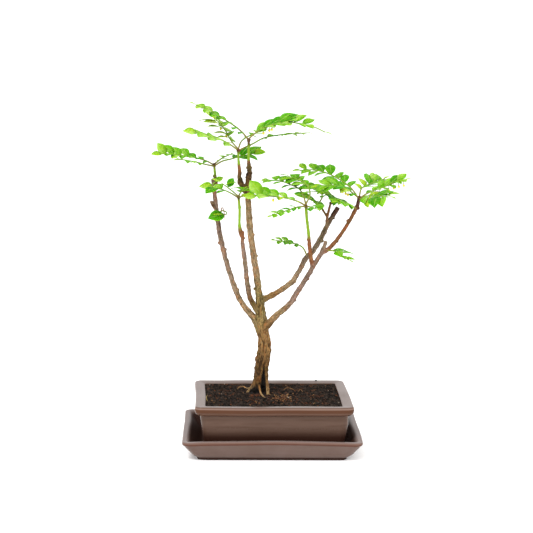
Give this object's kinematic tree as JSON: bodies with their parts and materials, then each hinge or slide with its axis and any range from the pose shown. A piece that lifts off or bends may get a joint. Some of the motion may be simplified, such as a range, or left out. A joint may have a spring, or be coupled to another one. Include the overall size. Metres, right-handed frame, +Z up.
{
  "type": "potted bonsai tree",
  "caption": "Young bonsai tree with a bare forked trunk, arching two-rowed leafy sprays and flower buds, in a rectangular clay pot on a saucer.",
  "frame": {"origin": "on the saucer's underside, on the upright centre line of the pot", "axes": "+Z up, +X along the pot's long side to the right, the long front of the pot faces -Y"},
  "size_m": [0.2478, 0.126, 0.3383],
  "materials": {
    "saucer_clay": "satin",
    "pot_clay": "satin",
    "soil": "matte",
    "bark": "matte",
    "leaf": "satin"
  },
  "bodies": {
    "root": {"saucer": "saucer_clay", "pot": "pot_clay", "soil": "soil", "tree": "bark", "spray_outer_left_long": "leaf", "spray_outer_left_front": "leaf", "spray_outer_left_back": "leaf", "spray_outer_left_right": "leaf", "spray_outer_left_leaf": "leaf", "spray_top_left_long": "leaf", "spray_top_left_back": "leaf", "spray_top_left_right": "leaf", "spray_top_left_up": "leaf", "spray_top_right_left": "leaf", "spray_top_right_right": "leaf", "spray_inner_left_left": "leaf", "spray_inner_left_far": "leaf", "spray_inner_left_right": "leaf", "spray_inner_left_up": "leaf", "spray_lower_right_left": "leaf", "spray_lower_right_front": "leaf", "spray_lower_right_arch": "leaf", "spray_lower_right_up": "leaf", "spray_lower_right_right": "leaf", "spray_twig_left": "leaf", "spray_twig_back": "leaf", "spray_twig_up": "leaf", "spray_crown_arch": "leaf", "spray_crown_left": "leaf", "spray_crown_back": "leaf", "spray_crown_right": "leaf", "spray_crown_front": "leaf", "spray_crown_low": "leaf", "spray_middle": "leaf", "spray_elbow": "leaf", "spray_limb_pair": "leaf"}
  },
  "joints": []
}
